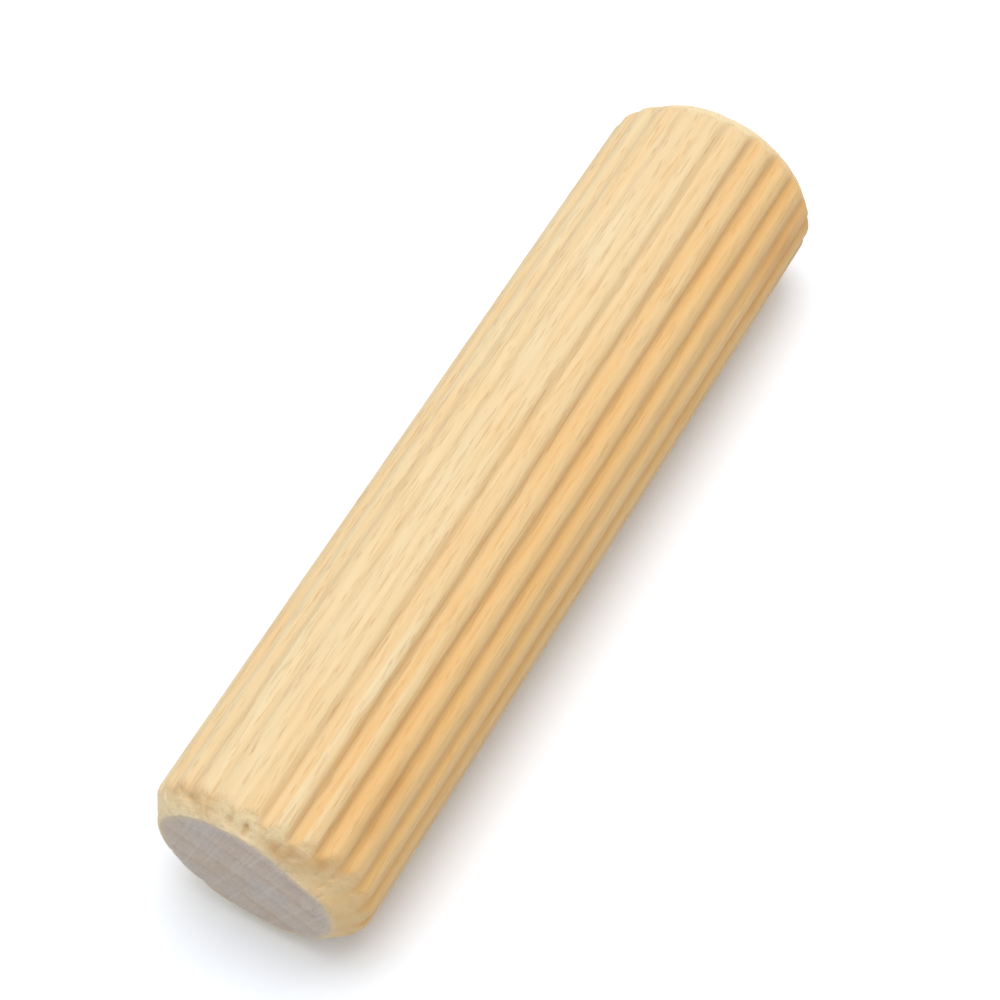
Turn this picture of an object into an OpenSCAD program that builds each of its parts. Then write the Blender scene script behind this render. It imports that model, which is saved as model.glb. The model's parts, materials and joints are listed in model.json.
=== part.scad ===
// Fluted dowel pin: a straight round rod of hard wood with fine flutes pressed along its
// whole length and a soft bevel cut on both ends, all in one piece.
// Frame: +Z up, and the pin's axis along X. The origin is on the axis at mid-length,
// where the joint line falls once each half is in its board. One flute faces straight
// down, so the pin lies on the two ribs beside it.

/* [Rod] */
// Diameter over the ribs, which is the size of the hole that the pin is pressed into
pin_d = 10; // [8:0.5:16]
// Length from end face to end face
pin_len = 40; // [25:1:80]
// Colour of the wood
wood = "#e6c68f"; // ["#e6c68f", "#d9b27a", "#c89b63"]

/* [Flutes] */
// Number of flutes around the pin
flute_count = 24; // [16:2:26]
// Depth of a flute below the tops of the ribs
flute_depth = 0.28; // [0.16:0.02:0.34]
// Width of a flute where its rounded edges leave the tops of the ribs
flute_w = 0.84; // [0.7:0.02:0.9]
// Radius of the flute's round floor
floor_r = 0.2; // [0.12:0.02:0.26]
// Radius of the rounded edge along each side of a rib
rib_edge_r = 0.12; // [0.06:0.02:0.16]

/* [Ends] */
// How far a bevel reaches along the pin
bevel_len = 1; // [0.6:0.1:1.6]
// How far a bevel comes in from the tops of the ribs
bevel_drop = 0.9; // [0.6:0.1:1.4]
// Radius of the soft heel where a bevel leaves the ribs
heel_r = 0.8; // [0.4:0.1:1.2]
// Radius of the soft toe where a bevel meets the end face
toe_r = 0.2; // [0.1:0.05:0.3]

/* [Hidden] */
$fn = 96;

rib_r = pin_d / 2;
half_len = pin_len / 2;
flute_pitch = 360 / flute_count;

// An arc crosses the line or circle that it rounds off at this angle. A true tangent
// leaves slivers along the whole pin, and the eye can't tell the two apart.
blend_angle = 9;
blend = cos(blend_angle);

// One flute's section, with its middle on +X. Each flank is a common tangent of two
// circles, the floor's and the rib edge's, and passes between them.
edge_angle = asin(flute_w / 2 / rib_r);
edge_centre = (rib_r - rib_edge_r * blend) * [cos(edge_angle), sin(edge_angle)];
floor_centre = [rib_r - flute_depth + floor_r, 0];
centre_line = edge_centre - floor_centre;
flank_turn = acos((floor_r + rib_edge_r) * blend / norm(centre_line));
flank_angle = atan2(centre_line[1], centre_line[0]) + flank_turn;
flank_normal = [cos(flank_angle), sin(flank_angle)];
flank_foot = floor_centre + floor_r * blend * flank_normal;
flank_top = edge_centre - rib_edge_r * blend * flank_normal;
mouth_corner = edge_centre * (1 + 2 * rib_edge_r / norm(edge_centre));

function mirrored(p) = [p[0], -p[1]];

module flute_section() {
    side = [mouth_corner, edge_centre, flank_top, flank_foot];
    difference() {
        polygon(concat(side, [for (i = [3:-1:0]) mirrored(side[i])]));
        for (centre = [edge_centre, mirrored(edge_centre)])
            translate(centre) circle(rib_edge_r);
    }
    translate(floor_centre) circle(floor_r);
}

module rod_section() {
    difference() {
        circle(rib_r);
        for (i = [0:flute_count - 1])
            rotate(i * flute_pitch) flute_section();
    }
}

// Half of the outline that the rod is turned down to, with X as the radius and Y along
// the pin. Between the bevels, and past the end face, it stands clear of the rod.
bevel_angle = atan2(bevel_drop, bevel_len);
bevel_normal = [cos(bevel_angle), sin(bevel_angle)];
heel_centre = [
    rib_r - heel_r * blend,
    half_len - bevel_len - heel_r * blend * tan(bevel_angle / 2)
];
toe_centre = [
    rib_r - bevel_drop - toe_r * blend * tan((90 - bevel_angle) / 2),
    half_len - toe_r * blend
];
clearance = 0.5;

module turned_outline() {
    polygon([
        [0, 0],
        [rib_r + clearance, 0],
        [rib_r + clearance, heel_centre[1]],
        [rib_r, heel_centre[1]],
        heel_centre + heel_r * blend * bevel_normal,
        toe_centre + toe_r * blend * bevel_normal,
        [toe_centre[0], half_len],
        [toe_centre[0], half_len + clearance],
        [0, half_len + clearance],
    ]);
    translate(heel_centre) circle(heel_r);
    translate(toe_centre) circle(toe_r);
}

module dowel_pin() {
    color(wood) rotate([0, 90, 0]) intersection() {
        linear_extrude(pin_len, center = true) rod_section();
        rotate_extrude() {
            turned_outline();
            mirror([0, 1]) turned_outline();
        }
    }
}

dowel_pin();
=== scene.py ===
"""A fluted dowel pin of bare beech, lying on a pale floor.

The pin is one piece of wood: 24 flutes are pressed along it, a soft bevel is cut on both
ends, and both end faces are sawn. Everything is in metres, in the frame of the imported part:
X along the pin's axis, Z up, and the origin on the axis at mid-length.
"""

import json
import math

import bpy
import numpy as np
from bpy.props import FloatProperty, FloatVectorProperty, IntProperty, PointerProperty
from mathutils import Matrix, Vector, noise

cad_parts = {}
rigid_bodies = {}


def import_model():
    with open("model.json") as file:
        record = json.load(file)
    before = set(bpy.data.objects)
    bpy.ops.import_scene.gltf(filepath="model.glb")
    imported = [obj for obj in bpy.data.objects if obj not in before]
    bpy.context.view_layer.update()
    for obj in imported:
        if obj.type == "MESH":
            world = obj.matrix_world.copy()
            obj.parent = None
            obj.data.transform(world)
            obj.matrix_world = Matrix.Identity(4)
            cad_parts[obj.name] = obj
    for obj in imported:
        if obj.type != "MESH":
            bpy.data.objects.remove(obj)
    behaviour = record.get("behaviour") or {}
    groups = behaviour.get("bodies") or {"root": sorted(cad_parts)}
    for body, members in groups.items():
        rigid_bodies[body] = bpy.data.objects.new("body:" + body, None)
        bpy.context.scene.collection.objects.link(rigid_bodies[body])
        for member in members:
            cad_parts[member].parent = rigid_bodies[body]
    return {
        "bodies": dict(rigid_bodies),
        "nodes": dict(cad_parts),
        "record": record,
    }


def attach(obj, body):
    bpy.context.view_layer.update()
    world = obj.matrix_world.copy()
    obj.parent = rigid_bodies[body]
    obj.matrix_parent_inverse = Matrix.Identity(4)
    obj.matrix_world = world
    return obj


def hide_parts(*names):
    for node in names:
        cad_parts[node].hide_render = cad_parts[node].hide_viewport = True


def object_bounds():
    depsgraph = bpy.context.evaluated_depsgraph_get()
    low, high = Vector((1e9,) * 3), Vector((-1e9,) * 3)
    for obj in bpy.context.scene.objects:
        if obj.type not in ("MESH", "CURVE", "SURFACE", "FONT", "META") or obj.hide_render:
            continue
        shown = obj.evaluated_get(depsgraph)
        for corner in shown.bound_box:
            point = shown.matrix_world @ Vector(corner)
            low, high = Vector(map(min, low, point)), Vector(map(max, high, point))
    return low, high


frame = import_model()
cad_low, cad_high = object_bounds()

bl_info = {
    "name": "Fluted Dowel Pin",
    "version": (1, 0, 0),
    "blender": (4, 5, 0),
    "location": "View3D > Sidebar > Dowel",
    "description": "Builds a fluted beech dowel pin, its frayed fibres and its stage",
    "category": "Add Mesh",
}

MM = 0.001
PIN_BODY = next(iter(frame["bodies"]))
PIN_NODE = next(iter(frame["nodes"]))
SHANK = next(mount for mount in frame["record"]["mounts"] if mount["name"] == "shank")


def linear(hex_code):
    """Turns an sRGB hex colour, such as "e8c896", to linear red, green, blue and alpha."""
    channels = [int(hex_code[i : i + 2], 16) / 255 for i in (0, 2, 4)]
    return [c / 12.92 if c <= 0.04045 else ((c + 0.055) / 1.055) ** 2.4 for c in channels] + [1]


# ---------------------------------------------------------------- sizes and colours


def size_in_mm(name, description, default_mm):
    """A length property, kept in metres, whose default is written in millimetres."""
    return FloatProperty(
        name=name, description=description, default=default_mm * MM, min=0, unit="LENGTH"
    )


def colour_in_hex(name, description, default_hex):
    """A colour property, kept linear, whose default is written as an sRGB hex value."""
    return FloatVectorProperty(
        name=name,
        description=description,
        default=linear(default_hex),
        size=4,
        min=0,
        max=1,
        subtype="COLOR",
    )


class DowelSizes(bpy.types.PropertyGroup):
    """Sizes of the pin's forms."""

    rib_radius: size_in_mm("Rib radius", "From the axis to the ribs' tops", SHANK["dims"]["r_mm"])
    half_length: size_in_mm("Half length", "From mid-length to an end face", cad_high.x / MM)
    flute_count: IntProperty(name="Flutes", description="Flutes around the pin", default=24, min=3)
    flute_depth: size_in_mm("Flute depth", "Below the ribs' tops", 0.28)
    # The next three follow the photo. part.scad has narrower flutes and squarer ribs, because
    # the mounts check needs its rib tops over 5 degrees wide. The difference isn't wear.
    flute_width: size_in_mm("Flute width", "Across a flute and its rounded edges", 1.1)
    floor_radius: size_in_mm("Floor radius", "Of a flute's round floor", 0.28)
    edge_radius: size_in_mm("Edge radius", "Of the rounded edge beside a rib", 0.3)
    bevel_length: size_in_mm("Bevel length", "How far a bevel reaches along the pin", 1.0)
    bevel_drop: size_in_mm("Bevel drop", "How far a bevel comes in from the ribs", 0.9)
    heel_radius: size_in_mm("Heel radius", "Of the heel between ribs and bevel", 0.8)
    toe_radius: size_in_mm("Toe radius", "Of the toe between bevel and end face", 0.2)
    growth_ring: size_in_mm("Growth ring", "Wood grown in one year", 1.7)
    pith_across: size_in_mm("Pith across", "From the axis to the tree's pith, along Y", 18.0)
    pith_below: size_in_mm("Pith below", "From the axis down to the tree's pith", 31.0)


class DowelColours(bpy.types.PropertyGroup):
    """Colours of the bare wood and of the stage."""

    early_wood: colour_in_hex("Early wood", "Pale wood of the spring", "f0deb6")
    late_wood: colour_in_hex("Late wood", "Darker line that ends a year", "e9c58d")
    # Painted shade: a golden colour painted on the pin's -Y side, as a flank in shade looks.
    shaded_side_gold: colour_in_hex("Shaded side gold", "Golden painted shade on the pin's -Y side", "e7af5c")
    warm_wood: colour_in_hex("Warm wood", "Orange clouds in the pale wood", "f0c88f")
    # Partly the real colour of squeezed wood, partly painted shade in the flutes' floors.
    pressed_and_shaded_wood: colour_in_hex("Pressed and shaded wood", "Squeezed wood and painted shade in a flute's floor", "d9a158")
    # Painted light: the bevels' paler colour.
    bevel_painted_light: colour_in_hex("Bevel painted light", "Bevel painted paler, as bright as the barrel", "feeabd")
    rubbed_wood: colour_in_hex("Rubbed wood", "Wood browned where the cutter rubbed", "d49c58")
    toe_wood: colour_in_hex("Toe wood", "Worn edge between a bevel and an end", "eddbbb")
    pore: colour_in_hex("Pore", "Vessels, as fine darker lines", "c79a64")
    ray: colour_in_hex("Ray", "Ray flecks, as short darker lines", "bd8a55")
    # Painted shade: the end grain's base colour is a grey, as the end looks in shade.
    shaded_end_wood: colour_in_hex("Shaded end wood", "Sawn end grain, painted grey as in shade", "dccbbb")
    end_ring: colour_in_hex("End ring", "Late wood seen end on", "c5b09d")
    end_ray: colour_in_hex("End ray", "Rays seen end on, as fine paler lines", "f0e6da")
    end_pore: colour_in_hex("End pore", "Vessels seen end on, as fine dots", "b5a08c")
    end_dust_and_shade: colour_in_hex("End dust and shade", "Grey patches of dust and painted shade in the end grain", "cfcac6")
    end_brown: colour_in_hex("End brown", "End grain browned by the saw", "bd9d80")
    fibre: colour_in_hex("Fibre", "Torn fibre, paler than what it tore from", "edd0a0")
    floor: colour_in_hex("Floor", "Pale floor under the pin", "dbdfe5")


# ---------------------------------------------------------------- the pin's form


def arc(centre, radius, start, end, steps):
    """Points along an arc from angle start to angle end, in radians."""
    return [
        (centre[0] + radius * math.cos(angle), centre[1] + radius * math.sin(angle))
        for angle in np.linspace(start, end, steps + 1)
    ]


def line(start, end, steps):
    """Points strictly between start and end, which split the line into equal steps."""
    shares = np.arange(1, steps) / steps
    return [
        (start[0] + (end[0] - start[0]) * s, start[1] + (end[1] - start[1]) * s) for s in shares
    ]


def flute_columns(sizes):
    """Angle from the flute's middle and radius of each mesh column over one flute's pitch."""
    half_width = math.asin(sizes.flute_width / 2 / sizes.rib_radius)
    edge_centre = Vector((math.cos(half_width), math.sin(half_width)))
    edge_centre *= sizes.rib_radius - sizes.edge_radius
    floor_centre = Vector((sizes.rib_radius - sizes.flute_depth + sizes.floor_radius, 0))
    between = edge_centre - floor_centre
    turn = math.acos((sizes.floor_radius + sizes.edge_radius) / between.length)
    flank = math.atan2(between.y, between.x) + turn
    floor = arc(floor_centre, sizes.floor_radius, math.pi, flank, 3)
    edge = arc(edge_centre, sizes.edge_radius, flank - math.pi, half_width, 2)
    land = arc((0, 0), sizes.rib_radius, half_width, math.pi / sizes.flute_count, 3)
    half = floor + line(floor[-1], edge[0], 2) + edge + land[1:]
    angles = np.array([math.atan2(y, x) for x, y in half])
    radii = np.array([math.hypot(x, y) for x, y in half])
    return np.append(-angles[:0:-1], angles[:-1]), np.append(radii[:0:-1], radii[:-1])


def turned_stations(sizes, step):
    """Distance from mid-length and radius of each mesh ring, from mid-length to an end face."""
    slope = math.atan2(sizes.bevel_drop, sizes.bevel_length)
    heel_reach = sizes.heel_radius * math.tan(slope / 2)
    toe_reach = sizes.toe_radius * math.tan((math.pi / 2 - slope) / 2)
    heel = (
        sizes.half_length - sizes.bevel_length - heel_reach,
        sizes.rib_radius - sizes.heel_radius,
    )
    toe = (
        sizes.half_length - sizes.toe_radius,
        sizes.rib_radius - sizes.bevel_drop - toe_reach,
    )
    heel_arc = arc(heel, sizes.heel_radius, math.pi / 2, math.pi / 2 - slope, 9)
    toe_arc = arc(toe, sizes.toe_radius, math.pi / 2 - slope, 0, 4)
    barrel = line((0, sizes.rib_radius), heel_arc[0], round(heel_arc[0][0] / step))
    # The last steps before the heel are as short as those on it, so that ribs can fray there.
    run_in = line(barrel[-1], heel_arc[0], 4)
    bevel = line(heel_arc[-1], toe_arc[0], 13)
    return np.array([(0, sizes.rib_radius)] + barrel + run_in + heel_arc + bevel + toe_arc)


def soft_min(a, b, reach):
    """The smaller of two radii, with a hollow of that reach where they meet."""
    share = np.clip(0.5 + 0.5 * (b - a) / reach, 0, 1)
    return b * (1 - share) + a * share - reach * share * (1 - share)


def noise_at(points, bump_mm, shift):
    """Smooth noise from about -1 to 1, with bumps that long, wide and high in millimetres. Each
    shift gives other bumps."""
    scaled = points.reshape(-1, 3) / (np.array(bump_mm) * MM) + shift
    values = np.array([noise.noise(Vector(point)) for point in scaled])
    return values.reshape(points.shape[:-1])


def smooth_step(low, high, value):
    """0 below low, 1 above high, and a smooth rise between them."""
    share = np.clip((value - low) / (high - low), 0, 1)
    return share * share * (3 - 2 * share)


def hump(angle, middle_deg, reach_deg):
    """1 at the middle angle, falling smoothly to about 0 beyond the reach, in degrees."""
    apart = np.angle(np.exp(1j * (angle - math.radians(middle_deg))))
    return np.exp(-((apart / math.radians(reach_deg)) ** 2))


def within_part(points):
    """The points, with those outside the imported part's box moved onto it."""
    return np.clip(points, np.array(cad_low), np.array(cad_high))


def around(angle_deg):
    """Direction across the pin at an angle from its top, positive towards -Y."""
    angle = math.radians(angle_deg)
    return np.array((0, -math.sin(angle), math.cos(angle)))


class PinSurface:
    """The pin's long surface as a grid of points, with a row for each ring round it and a column
    for each line along it."""

    RING_STEP = 0.3 * MM
    # How softly a flute's floor runs out into the bevel.
    HEEL_REACH = 0.3 * MM
    # How many knocks pins gave each other in a bag.
    KNOCKS = 46
    # Where the fluting rollers bit deeper or less deep than drawn: degrees from the top, the
    # reach in degrees, and the share of the depth.
    BITES = ((-20, 31, -0.5), (28, 22, 0.17), (78, 24, -0.3))
    # Where the cutter rubbed: millimetres from mid-length, degrees from the top, and the reach
    # of each spot in millimetres and degrees.
    RUBBED_SPOTS = (
        (-19.4, -19, 0.4, 10),
        (-19.2, -38, 0.4, 8),
        (-19.65, 25, 0.22, 8),
        (-19.5, 37, 0.3, 8),
        (-19.1, 50, 0.35, 6),
        (-15.8, 58, 2.2, 6),
        (16.6, 81, 2.6, 9),
        (19.2, 100, 0.4, 20),
        (19.1, -60, 0.4, 12),
        (11, -118, 2.2, 5),
    )
    # Where the cutter tore out a chip: as above, and then how deep in millimetres.
    CHIPS = (
        (-19.68, -3, 0.2, 2.2, 0.13),
        (-19.7, 7, 0.24, 2.2, 0.15),
        (-19.45, -29, 0.2, 3, 0.1),
        (-19.3, -78, 0.3, 4, 0.12),
        (19.5, -34, 0.25, 3, 0.12),
        (19.6, 62, 0.2, 3, 0.1),
    )

    def __init__(self, sizes):
        self.sizes = sizes
        half = turned_stations(sizes, self.RING_STEP)
        self.along = np.append(-half[:0:-1, 0], half[:, 0])
        self.turned = np.append(half[:0:-1, 1], half[:, 1])
        self.draw_flutes()
        self.rub_spots()
        self.sink_relief()

    def draw_flutes(self):
        """Points of the form as drawn, with the small differences between pressed flutes."""
        sizes = self.sizes
        angles, radii = flute_columns(sizes)
        pitch = 2 * math.pi / sizes.flute_count
        flute = np.repeat(np.arange(sizes.flute_count), len(angles))
        angle = np.tile(angles, sizes.flute_count) + flute * pitch
        depth = sizes.rib_radius - np.tile(radii, sizes.flute_count)
        # No two flutes are pressed alike: their depths and places differ, and depth wanders by
        # an eighth along each.
        choice = np.random.default_rng(5)
        bite = choice.uniform(0.9, 1.06, sizes.flute_count)[flute]
        from_top = flute * pitch - math.pi
        bite = bite * (1 + sum(more * hump(from_top, *place) for *place, more in self.BITES))
        drift = choice.uniform(-0.25, 0.25, sizes.flute_count)[flute] * depth / sizes.flute_depth
        wave = np.stack(np.broadcast_arrays(self.along[:, None], flute * 3 * MM, 0), -1)
        depth = depth * bite * (1 + 0.12 * noise_at(wave, (8, 1, 1), 2.5))
        self.depth_share = depth / sizes.flute_depth
        angle = angle + np.radians(drift)
        drop = sizes.rib_radius - self.turned
        self.toe = smooth_step(sizes.bevel_drop - 0.22 * MM, sizes.bevel_drop, drop)[:, None]
        bevel = self.bevel_cone()[:, None] - self.bevel_inset(drop, angle)
        pressed = sizes.rib_radius - depth
        self.cut = smooth_step(-0.05 * MM, 0.25 * MM, pressed - bevel)
        radius = soft_min(pressed, bevel, self.HEEL_REACH)
        radius = np.minimum(radius, sizes.rib_radius)
        self.points = np.stack(
            np.broadcast_arrays(
                self.along[:, None], radius * np.sin(angle), -radius * np.cos(angle)
            ),
            -1,
        )

    def bevel_cone(self):
        """Radius of each ring's bevel, which runs on past the ribs' tops instead of the heel."""
        sizes = self.sizes
        past = np.abs(self.along) - (sizes.half_length - sizes.bevel_length)
        cone = sizes.rib_radius - past * sizes.bevel_drop / sizes.bevel_length
        return np.where(past < sizes.bevel_length / 2, cone, self.turned)

    def bevel_inset(self, drop, angle):
        """How far each bevel is cut deeper than drawn: the cutter ran a little off the axis, and
        the near bevel's edge is bruised on one side."""
        share = smooth_step(0.2 * self.sizes.bevel_drop, self.sizes.bevel_drop, drop)[:, None]
        from_top = angle - math.pi
        # In millimetres: how far the cutter ran off the axis, and then the bruise.
        near_rim = 0.2 * np.cos(from_top - math.radians(60)) + 0.42 * hump(from_top, 45, 24)
        near_heel = 0.5 * hump(from_top, 66, 30) - 0.05
        near = near_heel * (1 - share) + near_rim * share
        far = 0.14 * np.cos(from_top + math.radians(45))
        return np.where(self.along[:, None] < 0, near, far) * MM

    def spot(self, along_mm, angle_deg, reach_mm, reach_deg):
        """1 in the middle of a spot on the surface, falling smoothly to 0 round it."""
        around_pin = np.arctan2(-self.points[..., 1], self.points[..., 2])
        along = (self.along[:, None] / MM - along_mm) / reach_mm
        return np.exp(-(along**2)) * hump(around_pin, angle_deg, reach_deg)

    def rub_spots(self):
        """Shares from 0 to 1 of how far the cutter rubbed the wood brown."""
        spots = sum(self.spot(*place) for place in self.RUBBED_SPOTS)
        ragged = 0.75 + 0.6 * noise_at(self.points, (1.4, 0.5, 0.5), 77)
        self.rubbed = np.clip(spots * ragged, 0, 1)

    def outward(self):
        """Unit vectors square to the surface."""
        lengthwise = np.gradient(self.points, axis=0)
        roundwise = np.roll(self.points, -1, axis=1) - np.roll(self.points, 1, axis=1)
        square = np.cross(roundwise, lengthwise)
        return square / np.linalg.norm(square, axis=-1, keepdims=True)

    def sink_relief(self):
        """Lowers the surface by its grain, tears, dents and worn edges, and never raises it."""
        points = self.points
        # Each is a depth in millimetres times noise.
        swell = 0.012 * (1 + noise_at(points, (9, 4, 4), 23))
        grain = 0.022 * np.clip(noise_at(points, (8, 0.45, 0.45), 3), 0, None)
        fine = 0.014 * np.clip(noise_at(points, (3, 0.2, 0.2), 11), 0, None)
        torn = self.cut * 0.1 * np.clip(noise_at(points, (0.7, 0.25, 0.25), 31) - 0.12, 0, None)
        scraped = self.cut * 0.02 * (1 + noise_at(points, (0.22, 2.5, 2.5), 47))
        worn = self.toe * (0.03 + 0.04 * noise_at(points, (3, 1.1, 1.1), 53))
        crumbled = self.toe * 0.035 * np.clip(noise_at(points, (0.5, 0.22, 0.22), 61), 0, None)
        sunk = swell + grain + fine + torn + scraped + worn + crumbled + self.dents()
        self.sunk = np.clip(sunk, 0, None) * MM
        lowered = points - self.outward() * self.sunk[..., None]
        self.points = within_part(lowered)

    def dents(self):
        """Depth in millimetres of the chips and the knocks."""
        choice = np.random.default_rng(12)
        depth = sum(deep * self.spot(*place) for *place, deep in self.CHIPS)
        for _ in range(self.KNOCKS):
            reach = self.sizes.half_length - 0.5 * MM
            place = around(choice.uniform(0, 360)) * self.sizes.rib_radius
            place[0] = choice.uniform(-reach, reach)
            size = np.array((choice.uniform(0.25, 0.9), *[choice.uniform(0.1, 0.22)] * 2)) * MM
            far = (((self.points - place) / size) ** 2).sum(-1)
            depth += choice.uniform(0.02, 0.07) * np.exp(-far)
        return depth


def face_rings(surface, side):
    """Rings of points that close one end, from its edge in, with half as many points where they
    would crowd, and the share of the edge's wear at each ring."""
    rim = surface.points[-1 if side > 0 else 0]
    reach = np.linalg.norm(rim[:, 1:], axis=1).mean()
    step = 0.13 * MM
    crowded = 0.45 * step
    worn_edge = 0.35 * MM
    rings, edges, columns = [], [], len(rim)
    for share in np.linspace(1, 0, round(reach / step))[1:-1]:
        if 2 * math.pi * reach * share / columns < crowded and columns % 2 == 0:
            columns //= 2
        ring = rim[:: len(rim) // columns] * (0, share, share)
        flat = side * (surface.sizes.half_length - sawn_relief(ring, side))
        at_rim = rim[:: len(rim) // columns, 0]
        inside = smooth_step(0, worn_edge, reach * (1 - share))
        ring[:, 0] = at_rim * (1 - inside) + flat * inside
        rings.append(ring)
        edges.append(np.full(len(ring), 1 - inside))
    return rings, edges


def sawn_relief(points, side):
    """How far a sawn end face lies below its drawn plane, by its tooth marks, open pores, chips
    and low middle."""
    flat = points * (0, 1, 1)
    tooth_spacing = 0.62 * MM
    edge_radius = 4 * MM
    # The two ends were cut by the same saw but lie at different turns.
    lean = math.radians(24 if side < 0 else 65)
    across = flat[:, 1] * math.cos(lean) + flat[:, 2] * math.sin(lean)
    wander = noise_at(flat, (1, 3, 3), 5 + side)
    tooth_marks = 0.5 + 0.5 * np.sin(2 * math.pi * across / tooth_spacing + 4 * wander)
    strength = 0.6 + 0.4 * noise_at(flat, (1, 2.2, 2.2), 71)
    pores = np.clip(noise_at(flat, (1, 0.3, 0.3), 83) - 0.1, 0, None)
    chips = np.clip(noise_at(flat, (1, 0.9, 0.9), 97 + side) - 0.35, 0, None)
    middle = 1 - (np.linalg.norm(flat, axis=1) / edge_radius) ** 2
    return (0.022 * tooth_marks * strength + 0.035 * pores + 0.09 * chips + 0.03 * middle) * MM


def stitch(outer, inner):
    """Faces between two rings of vertex numbers, where inner has as many or half as many."""
    count = len(inner)
    if len(outer) == count:
        return [
            (outer[i], outer[(i + 1) % count], inner[(i + 1) % count], inner[i])
            for i in range(count)
        ]
    faces = []
    for i in range(count):
        after = (i + 1) % count
        first, middle, last = outer[2 * i], outer[2 * i + 1], outer[2 * after]
        faces += [(first, middle, inner[i]), (middle, inner[after], inner[i])]
        faces.append((middle, last, inner[after]))
    return faces


def end_face(surface, side, outer, used):
    """Points and faces that close one end from its edge in, numbered on from used, and the share
    of the edge's wear at each point."""
    rings, wear = face_rings(surface, side)
    faces = []
    for ring in rings:
        inner = np.arange(used, used + len(ring))
        faces += stitch(outer, inner)
        used += len(ring)
        outer = inner
    count = len(outer)
    faces += [(outer[i], outer[(i + 1) % count], used) for i in range(count)]
    if side < 0:
        faces = [face[::-1] for face in faces]
    middle = rings[-1].mean(axis=0)[None]
    return np.concatenate((*rings, middle)), faces, np.concatenate((*wear, np.zeros(1)))


def pin_mesh(sizes):
    """The whole pin as one closed mesh, with the sawn faces in material slot 1."""
    surface = PinSurface(sizes)
    rows, columns = surface.points.shape[:2]
    points = [surface.points.reshape(-1, 3)]
    numbers = np.arange(rows * columns).reshape(rows, columns)
    faces = []
    for row in range(rows - 1):
        faces += stitch(numbers[row], numbers[row + 1])
    long_faces = len(faces)
    used = rows * columns
    toe = [np.broadcast_to(surface.toe, (rows, columns)).ravel()]
    for side, rim in ((-1, numbers[0]), (1, numbers[-1])):
        inside, closing, wear = end_face(surface, side, rim, used)
        points.append(inside)
        faces += closing
        toe.append(wear)
        used += len(inside)
    mesh = bpy.data.meshes.new("dowel_pin_wood")
    mesh.from_pydata(np.concatenate(points), [], [tuple(map(int, face)) for face in faces])
    mesh.polygons.foreach_set("material_index", [int(i >= long_faces) for i in range(len(faces))])
    mesh.shade_smooth()
    at_ends = np.zeros(used - rows * columns)
    for name, values in (
        # A bevel cuts half of what was pressed away, and its worn toe the rest.
        ("pressed", surface.depth_share * (1 - 0.55 * surface.cut) * (1 - surface.toe)),
        ("cut", surface.cut),
        ("rubbed", surface.rubbed),
        # In tenths of a millimetre.
        ("sunk", surface.sunk / (0.1 * MM)),
    ):
        give_attribute(mesh, name, np.concatenate((values.ravel(), at_ends)))
    give_attribute(mesh, "toe", np.concatenate(toe))
    return mesh


def give_attribute(mesh, name, values):
    """Gives the mesh a number at each point, for its materials to read."""
    layer = mesh.attributes.new(name, "FLOAT", "POINT")
    layer.data.foreach_set("value", values.astype(np.float32))


# ---------------------------------------------------------------- frayed fibres


def fibre_form(root, heading, away, length, radius, curl):
    """Points and faces of one fibre: a thin three-sided blade that tapers and curls away."""
    side = np.cross(heading, away)
    flatness = 1.6
    taper = 0.85
    rings = 6
    points = []
    for i in range(rings):
        share = i / (rings - 1)
        centre = root + heading * length * share + away * length * curl * share * share
        width = radius * (1 - taper * share**1.5)
        for turn in (math.pi / 2, math.pi * 7 / 6, math.pi * 11 / 6):
            corner = side * math.cos(turn) * flatness + away * math.sin(turn)
            points.append(centre + corner * width)
    faces = [(0, 1, 2), tuple(3 * rings - 1 - i for i in range(3))]
    for i in range(rings - 1):
        for j in range(3):
            a, b = 3 * i + j, 3 * i + (j + 1) % 3
            faces.append((a, a + 3, b + 3, b))
    return points, faces


def fibre_mesh(surface):
    """Fibres that the cutter lifted where the ribs run out on the bevels."""
    choice = np.random.default_rng(31)
    fibres_per_end = 26
    roots = []
    inward = surface.sizes.rib_radius - 0.06 * MM
    for side in (-1, 1):
        for _ in range(fibres_per_end):
            place = around(choice.uniform(0, 360)) * inward
            place[0] = side * (surface.sizes.half_length - choice.uniform(0.35, 1.15) * MM)
            roots.append((place, side, choice.uniform(0.12, 0.38), choice.uniform(0.006, 0.013)))
    grid = surface.points.reshape(-1, 3)
    outward = surface.outward().reshape(-1, 3)
    points, faces = [], []
    for place, side, length, radius in roots:
        nearest = int(((grid - place) ** 2).sum(-1).argmin())
        away = outward[nearest]
        root = grid[nearest] - away * 0.02 * MM
        heading = np.array((side, 0, 0)) - away * side * away[0]
        heading += np.cross(heading, away) * choice.normal(0, 0.25)
        heading /= np.linalg.norm(heading)
        made, sides = fibre_form(
            root, heading, away, length * MM, radius * MM, choice.uniform(0.02, 0.16)
        )
        faces += [tuple(i + len(points) for i in face) for face in sides]
        points += made
    mesh = bpy.data.meshes.new("frayed_fibres")
    mesh.from_pydata(within_part(np.array(points)), [], faces)
    mesh.shade_smooth()
    return mesh


# ---------------------------------------------------------------- materials

# Sockets of the colour form of the Mix node, which share their names with its other forms.
MIX_A, MIX_B, MIX_RESULT = 6, 7, 2


def add(tree, kind, inputs=None, **settings):
    """Adds a node, sets its settings, and fills its inputs with values or other nodes' outputs."""
    node = tree.nodes.new("ShaderNode" + kind)
    for name, value in settings.items():
        setattr(node, name, value)
    for name, value in (inputs or {}).items():
        if isinstance(value, bpy.types.NodeSocket):
            tree.links.new(value, node.inputs[name])
        else:
            node.inputs[name].default_value = value
    return node


def new_material(name):
    """A material with an empty node tree."""
    material = bpy.data.materials.new(name)
    material.use_nodes = True
    material.node_tree.nodes.clear()
    return material, material.node_tree


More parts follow.
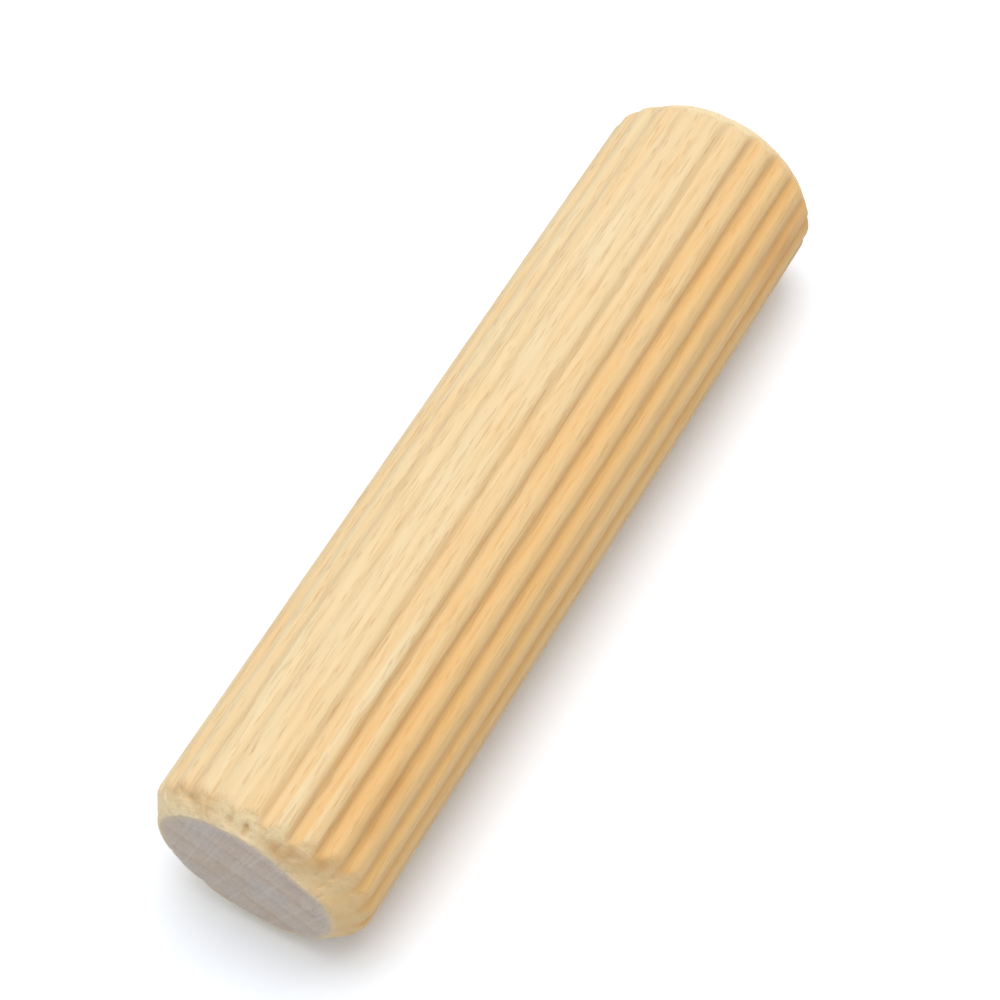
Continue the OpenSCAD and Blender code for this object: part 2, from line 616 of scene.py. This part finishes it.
def place_in_tree(tree, sizes):
    """Where each point of the pin lay in the living tree, in metres: along the trunk, out from
    the pith and round the pith. The pin's axis leans a little from the trunk's, as sawn stock
    does."""
    here = add(tree, "TexCoord")
    moved = add(
        tree,
        "Mapping",
        {
            "Vector": here.outputs["Object"],
            "Location": (0, -sizes.pith_across, sizes.pith_below),
            "Rotation": (0, math.radians(1.1), math.radians(-0.8)),
        },
    )
    part = add(tree, "SeparateXYZ", {"Vector": moved.outputs["Vector"]})
    square = {0: moved.outputs["Vector"], 1: (0, 1, 1)}
    across = add(tree, "VectorMath", square, operation="MULTIPLY")
    out = add(tree, "VectorMath", {0: across.outputs["Vector"]}, operation="LENGTH")
    turn = add(tree, "Math", {0: part.outputs["Z"], 1: part.outputs["Y"]}, operation="ARCTAN2")
    pith_distance = math.hypot(sizes.pith_across, sizes.pith_below)
    round_pith = add(
        tree, "Math", {0: turn.outputs["Value"], 1: pith_distance}, operation="MULTIPLY"
    )
    place = add(
        tree,
        "CombineXYZ",
        {
            "X": part.outputs["X"],
            "Y": out.outputs["Value"],
            "Z": round_pith.outputs["Value"],
        },
    )
    return place.outputs["Vector"]


def marks(tree, place, size_mm, low, high, texture="TexNoise", output="Fac", **inputs):
    """Marks of the wood, as long, thick and wide as size_mm says: 0 where the texture is at low,
    1 where it is at high, and a smooth change between them."""
    counted = add(
        tree,
        "VectorMath",
        {0: place, 1: [1 / (size * MM) for size in size_mm]},
        operation="MULTIPLY",
    )
    drawn = add(tree, texture, {"Vector": counted.outputs["Vector"], "Scale": 1, **inputs})
    ramp = add(
        tree,
        "MapRange",
        {"Value": drawn.outputs[output], "From Min": low, "From Max": high},
        interpolation_type="SMOOTHSTEP",
    )
    return ramp.outputs["Result"]


def growth_rings(tree, place, sizes):
    """0 in a year's early wood, rising late in the year to 1 and dropping back at its end."""
    # A year is one wave, and the rings wander 8 times in a metre along the trunk and 60 times in
    # a metre round it.
    wave = 2 * math.pi / 20  # of the Wave node, in its own units
    per_metre = (8, wave / sizes.growth_ring, 60)
    scaled = add(tree, "VectorMath", {0: place, 1: per_metre}, operation="MULTIPLY")
    year = add(
        tree,
        "TexWave",
        {
            "Vector": scaled.outputs["Vector"],
            "Scale": 1,
            "Distortion": 1.2,
            "Detail": 1,
            "Detail Scale": 1.5,
        },
        wave_type="BANDS",
        bands_direction="Y",
        wave_profile="SAW",
    )
    late = add(tree, "Math", {0: year.outputs["Fac"], 1: 3.5}, operation="POWER")
    return late.outputs["Value"]


def tint(tree, base, colour, share, strength):
    """Mixes a colour over a base by a share from 0 to 1, at that strength where it is 1."""
    amount = add(tree, "Math", {0: share, 1: strength}, operation="MULTIPLY")
    mixed = add(
        tree,
        "Mix",
        {0: amount.outputs["Value"], MIX_A: base, MIX_B: colour},
        data_type="RGBA",
    )
    return mixed.outputs[MIX_RESULT]


def bare_beech_pressed(sizes, colours):
    """Beech, turned, pressed and left bare: a creamy wood with a soft sheen, faint bands of
    growth, fine broken pore lines along it and short darker ray flecks."""
    material, tree = new_material("beech_turned_and_pressed")
    place = place_in_tree(tree, sizes)
    here = add(tree, "TexCoord").outputs["Object"]
    rings = growth_rings(tree, place, sizes)
    bands = marks(tree, place, (26, 1.1, 2.6), 0.3, 0.7, Detail=2)
    warmth = marks(tree, place, (4.5, 2.2, 2.2), 0.42, 0.72, Detail=3)
    streaks = marks(tree, place, (16, 0.5, 0.5), 0.35, 0.7, Detail=3)
    fibres = marks(tree, place, (4, 0.16, 0.16), 0.3, 0.72, Detail=4)
    # Vessels are 0.06 mm wide, drawn at 0.08 mm so that they show as lines.
    vessels = marks(tree, place, (1.6, 0.08, 0.08), 0.56, 0.7, Detail=1)
    # Rays are 0.5 to 1 mm high and 0.1 mm wide where their ends meet the surface.
    # They are pointed spots about the cells' middles, and end 0.23 of a cell from them.
    rays = marks(tree, place, (1.6, 6, 0.24), 0.23, 0.046, "TexVoronoi", "Distance")
    # The rod cutter leaves faint rounds 0.6 mm apart, and the bevel cutter much finer ones.
    turned = marks(tree, here, (0.6, 7, 7), 0.3, 0.7, Detail=1)
    scraped = marks(tree, here, (0.09, 2.5, 2.5), 0.3, 0.7, Detail=2)
    # Painted shade: the pin's -Y side is painted more golden and darker, as a flank in shade
    # looks.
    across = add(tree, "SeparateXYZ", {"Vector": here})
    shade_side_mask = add(
        tree,
        "MapRange",
        {"Value": across.outputs["Y"], "From Min": -0.8 * MM, "From Max": -5 * MM},
        interpolation_type="SMOOTHSTEP",
    )
    pressed, cut, rubbed, sunk, toe = (
        add(tree, "Attribute", attribute_name=name).outputs["Fac"]
        for name in ("pressed", "cut", "rubbed", "sunk", "toe")
    )

    wood = tint(tree, list(colours.early_wood), list(colours.late_wood), rings, 0.4)
    wood = tint(tree, wood, list(colours.late_wood), bands, 0.25)
    wood = tint(tree, wood, list(colours.warm_wood), warmth, 0.4)
    wood = tint(tree, wood, list(colours.late_wood), streaks, 0.3)
    wood = tint(tree, wood, list(colours.late_wood), fibres, 0.35)
    wood = tint(tree, wood, list(colours.pore), vessels, 0.3)
    wood = tint(tree, wood, list(colours.ray), rays, 0.3)
    # Partly pressed wood and partly painted shade: flute floors are painted darker and more golden
    # by their depth.
    wood = tint(tree, wood, list(colours.pressed_and_shaded_wood), pressed, 0.15)
    # Painted light: the bevels are painted paler than the wood, so that they look as bright as the
    # barrel.
    wood = tint(tree, wood, list(colours.bevel_painted_light), cut, 0.6)
    # The painted golden shade is stronger in the flutes and weaker on the bevels, which are
    # painted paler.
    shade_gold_in_flutes = add(tree, "MapRange", {"Value": pressed, "To Min": 0.7, "To Max": 1.2})
    shade_gold_on_bevels = add(tree, "MapRange", {"Value": cut, "To Min": 1, "To Max": 0.9})
    shade_gold_share = shade_side_mask.outputs["Result"]
    for strength in (shade_gold_in_flutes.outputs["Result"], shade_gold_on_bevels.outputs["Result"]):
        weighed = add(tree, "Math", {0: shade_gold_share, 1: strength}, operation="MULTIPLY")
        shade_gold_share = weighed.outputs["Value"]
    wood = tint(tree, wood, list(colours.shaded_side_gold), shade_gold_share, 0.68)
    wood = tint(tree, wood, list(colours.rubbed_wood), rubbed, 0.65)
    # The wood is darker where it lies more than 0.05 mm deep, and darkest from 0.2 mm.
    darker_when_sunk = add(
        tree,
        "MapRange",
        {"Value": sunk, "From Min": 0.5, "From Max": 2},
        interpolation_type="SMOOTHSTEP",
    )
    wood = tint(tree, wood, list(colours.pore), darker_when_sunk.outputs["Result"], 0.5)
    wood = tint(tree, wood, list(colours.toe_wood), toe, 0.5)

    height = 0
    for cavity, weight in ((vessels, 1), (fibres, 1), (turned, 0.35), (scraped, cut)):
        deeper = add(tree, "Math", {0: cavity, 1: weight, 2: height}, operation="MULTIPLY_ADD")
        height = deeper.outputs["Value"]
    fine = add(
        tree,
        "Bump",
        {"Strength": 0.7, "Distance": 0.012 * MM, "Height": height},
        invert=True,
    )
    # The rollers burnish what they press, and a cutter leaves the bevels dull.
    burnished = add(
        tree,
        "MapRange",
        {"Value": pressed, "To Min": 0.6, "To Max": 0.5},
        interpolation_type="SMOOTHSTEP",
    )
    dulled = {0: cut, 1: 0.15, 2: burnished.outputs["Result"]}
    roughness = add(tree, "Math", dulled, operation="MULTIPLY_ADD")
    shader = add(
        tree,
        "BsdfPrincipled",
        {
            "Base Color": wood,
            "Roughness": roughness.outputs["Value"],
            "IOR": 1.5,
            "Specular IOR Level": 0.3,
            "Sheen Weight": 0.05,
            "Sheen Roughness": 0.5,
            "Normal": fine.outputs["Normal"],
        },
    )
    add(tree, "OutputMaterial", {"Surface": shader.outputs["BSDF"]})
    return material


def bare_beech_sawn(sizes, colours):
    """Beech end grain, sawn and left bare: dull, and painted greyer than the sides as the end
    looks in shade, with patches of dust and painted shade. Years show as darker curves, and rays
    as fine paler lines across them."""
    material, tree = new_material("beech_end_grain_sawn")
    place = place_in_tree(tree, sizes)
    rings = growth_rings(tree, place, sizes)
    # Vessels are 0.06 mm across, drawn at 0.1 mm so that they show as dots.
    vessels = marks(tree, place, (40, 0.1, 0.1), 0.5, 0.66, Detail=1)
    rays = marks(tree, place, (40, 7, 0.14), 0.56, 0.72, Detail=1)
    thin_rays = marks(tree, place, (40, 2.2, 0.1), 0.52, 0.7, Detail=2)
    dust = marks(tree, place, (40, 1.9, 1.9), 0.4, 0.66, Detail=3)
    browned = marks(tree, place, (40, 2.3, 2.3), 0.5, 0.72, Detail=2)
    toe = add(tree, "Attribute", attribute_name="toe").outputs["Fac"]

    # Painted shade: the end grain is painted grey, as the end looks in shade, and grey patches of
    # dust and painted shade lie over it.
    wood = tint(tree, list(colours.shaded_end_wood), list(colours.end_ring), rings, 0.5)
    wood = tint(tree, wood, list(colours.end_dust_and_shade), dust, 0.6)
    wood = tint(tree, wood, list(colours.end_brown), browned, 0.3)
    wood = tint(tree, wood, list(colours.end_pore), vessels, 0.28)
    wood = tint(tree, wood, list(colours.end_ray), thin_rays, 0.15)
    wood = tint(tree, wood, list(colours.end_ray), rays, 0.2)
    wood = tint(tree, wood, list(colours.toe_wood), toe, 0.5)

    fine = add(
        tree,
        "Bump",
        {"Strength": 0.7, "Distance": 0.015 * MM, "Height": vessels},
        invert=True,
    )
    shader = add(
        tree,
        "BsdfPrincipled",
        {
            "Base Color": wood,
            "Roughness": 0.8,
            "IOR": 1.5,
            "Specular IOR Level": 0.25,
            "Normal": fine.outputs["Normal"],
        },
    )
    add(tree, "OutputMaterial", {"Surface": shader.outputs["BSDF"]})
    return material


def torn_beech_fibre(colours):
    """Beech fibres torn loose: paler and silkier than the wood, darker towards some roots."""
    material, tree = new_material("beech_fibre_torn")
    here = add(tree, "TexCoord")
    spots = add(
        tree, "TexNoise", {"Vector": here.outputs["Object"], "Scale": 1 / (0.8 * MM), "Detail": 1}
    )
    wood = tint(tree, list(colours.fibre), list(colours.late_wood), spots.outputs["Fac"], 0.7)
    shader = add(
        tree, "BsdfPrincipled", {"Base Color": wood, "Roughness": 0.5, "IOR": 1.5}
    )
    add(tree, "OutputMaterial", {"Surface": shader.outputs["BSDF"]})
    return material


# ---------------------------------------------------------------- stage


def white_board(colours):
    """Painted board, matt: it takes the pin's shadow, and the camera sees the rest as white."""
    material, tree = new_material("board_painted_white")
    paint = add(tree, "BsdfDiffuse", {"Color": list(colours.floor), "Roughness": 0})
    # Seen half as bright again, so that all but the deep of the shadow is white.
    more = [channel * 0.5 for channel in colours.floor[:3]] + [1]
    again = add(tree, "BsdfDiffuse", {"Color": more, "Roughness": 0})
    both = add(tree, "AddShader", {0: paint.outputs["BSDF"], 1: again.outputs["BSDF"]})
    add_seen_mix(tree, paint.outputs["BSDF"], both.outputs["Shader"], "OutputMaterial")
    return material


def add_seen_mix(tree, plain, seen, output):
    """Gives plain to the light that falls on things, and seen to the camera and to reflections."""
    path = add(tree, "LightPath")
    looking = path.outputs["Is Camera Ray"]
    for kind in ("Is Glossy Ray", "Is Transmission Ray"):
        either = add(tree, "Math", {0: looking, 1: path.outputs[kind]}, operation="MAXIMUM")
        looking = either.outputs["Value"]
    mixed = add(tree, "MixShader", {0: looking, 1: plain, 2: seen})
    add(tree, output, {"Surface": mixed.outputs["Shader"]})


def light_world():
    """Soft white light from all around, and a white background."""
    world = bpy.data.worlds.new("soft_white_room")
    world.use_nodes = True
    tree = world.node_tree
    tree.nodes.clear()
    # The room is brightest high up beyond the pin, so that the shadow is deep and near.
    towards = add(tree, "TexCoord").outputs["Generated"]
    nearness = add(
        tree, "VectorMath", {0: towards, 1: (0.1, 0.05, 0.98)}, operation="DOT_PRODUCT"
    )
    glow = add(
        tree,
        "MapRange",
        {
            "Value": nearness.outputs["Value"],
            "From Min": -0.2,
            "To Min": 0.05,
            "To Max": 0.97,
        },
    )
    room = add(tree, "Background", {"Color": (1, 1, 1, 1), "Strength": glow.outputs["Result"]})
    white = add(tree, "Background", {"Color": (1, 1, 1, 1), "Strength": 1})
    add_seen_mix(tree, room.outputs["Background"], white.outputs["Background"], "OutputWorld")
    bpy.context.scene.world = world


def place_lamp(name, direction, distance, side, power):
    """A square lamp that faces the pin from a direction."""
    lamp = bpy.data.lights.new(name, "AREA")
    lamp.shape = "SQUARE"
    lamp.size = side
    lamp.energy = power
    holder = bpy.data.objects.new(name, lamp)
    holder.location = Vector(direction).normalized() * distance
    holder.rotation_euler = Vector(direction).to_track_quat("Z", "Y").to_euler()
    holder.visible_camera = False
    bpy.context.scene.collection.objects.link(holder)


def place_camera():
    """The camera looks down on the pin along its near end, leaning so that the pin lies aslant."""
    place = Vector((-54.29, -44.19, 106.69)) * MM
    lean = math.radians(-10.6)
    camera = bpy.data.cameras.new("camera")
    camera.lens = 108
    camera.clip_start = 0.005
    holder = bpy.data.objects.new("camera", camera)
    aim = (-place).to_track_quat("-Z", "Y").to_matrix()
    facing = (aim @ Matrix.Rotation(lean, 3, "Z")).to_4x4()
    holder.matrix_world = Matrix.Translation(place) @ facing
    bpy.context.scene.collection.objects.link(holder)
    bpy.context.scene.camera = holder


def floor_mesh(half_side, height):
    """A square floor."""
    corners = [(-1, -1), (1, -1), (1, 1), (-1, 1)]
    mesh = bpy.data.meshes.new("floor")
    points = [(x * half_side, y * half_side, height) for x, y in corners]
    mesh.from_pydata(points, [], [(0, 1, 2, 3)])
    return mesh


# ---------------------------------------------------------------- operators and panel


def show(mesh, *materials):
    """Links a new object of that mesh to the scene."""
    for material in materials:
        mesh.materials.append(material)
    piece = bpy.data.objects.new(mesh.name, mesh)
    bpy.context.scene.collection.objects.link(piece)
    return piece


class BuildPin(bpy.types.Operator):
    """Builds the fluted pin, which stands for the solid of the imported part"""

    bl_idname = "dowel.build_pin"
    bl_label = "Dowel Pin"

    def execute(self, context):
        sizes, colours = context.scene.dowel_sizes, context.scene.dowel_colours
        pin = show(
            pin_mesh(sizes), bare_beech_pressed(sizes, colours), bare_beech_sawn(sizes, colours)
        )
        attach(pin, PIN_BODY)
        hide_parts(PIN_NODE)
        return {"FINISHED"}


class BuildFibres(bpy.types.Operator):
    """Builds the fine fibres that stand up on the bevels"""

    bl_idname = "dowel.build_fibres"
    bl_label = "Frayed Fibres"

    def execute(self, context):
        surface = PinSurface(context.scene.dowel_sizes)
        fibres = show(fibre_mesh(surface), torn_beech_fibre(context.scene.dowel_colours))
        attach(fibres, PIN_BODY)
        return {"FINISHED"}


class BuildStage(bpy.types.Operator):
    """Builds the floor, the lamps, the white room and the camera"""

    bl_idname = "dowel.build_stage"
    bl_label = "Stage"

    def execute(self, context):
        board = floor_mesh(half_side=0.6, height=cad_low.z)
        floor = show(board, white_board(context.scene.dowel_colours))
        light_world()
        place_lamp("key_lamp", direction=(0.15, -0.07, 0.98), distance=0.6, side=0.4, power=1.65)
        place_camera()
        context.scene.view_settings.view_transform = "Standard"
        return {"FINISHED"}


class DowelPanel(bpy.types.Panel):
    """Lists the pin's pieces with their sizes and colours"""

    bl_idname = "VIEW3D_PT_dowel"
    bl_label = "Fluted Dowel Pin"
    bl_space_type = "VIEW_3D"
    bl_region_type = "UI"
    bl_category = "Dowel"

    def draw(self, context):
        for operator in OPERATORS:
            self.layout.operator(operator.bl_idname)
        for group in (context.scene.dowel_sizes, context.scene.dowel_colours):
            for name in group.__annotations__:
                self.layout.prop(group, name)


OPERATORS = (BuildStage, BuildPin, BuildFibres)
CLASSES = (DowelSizes, DowelColours, *OPERATORS, DowelPanel)


def register():
    for each in CLASSES:
        bpy.utils.register_class(each)
    bpy.types.Scene.dowel_sizes = PointerProperty(type=DowelSizes)
    bpy.types.Scene.dowel_colours = PointerProperty(type=DowelColours)


def unregister():
    del bpy.types.Scene.dowel_colours
    del bpy.types.Scene.dowel_sizes
    for each in reversed(CLASSES):
        bpy.utils.unregister_class(each)


def main():
    """Builds everything."""
    register()
    bpy.ops.dowel.build_stage()
    bpy.ops.dowel.build_pin()
    bpy.ops.dowel.build_fibres()


if __name__ == "__main__":
    main()
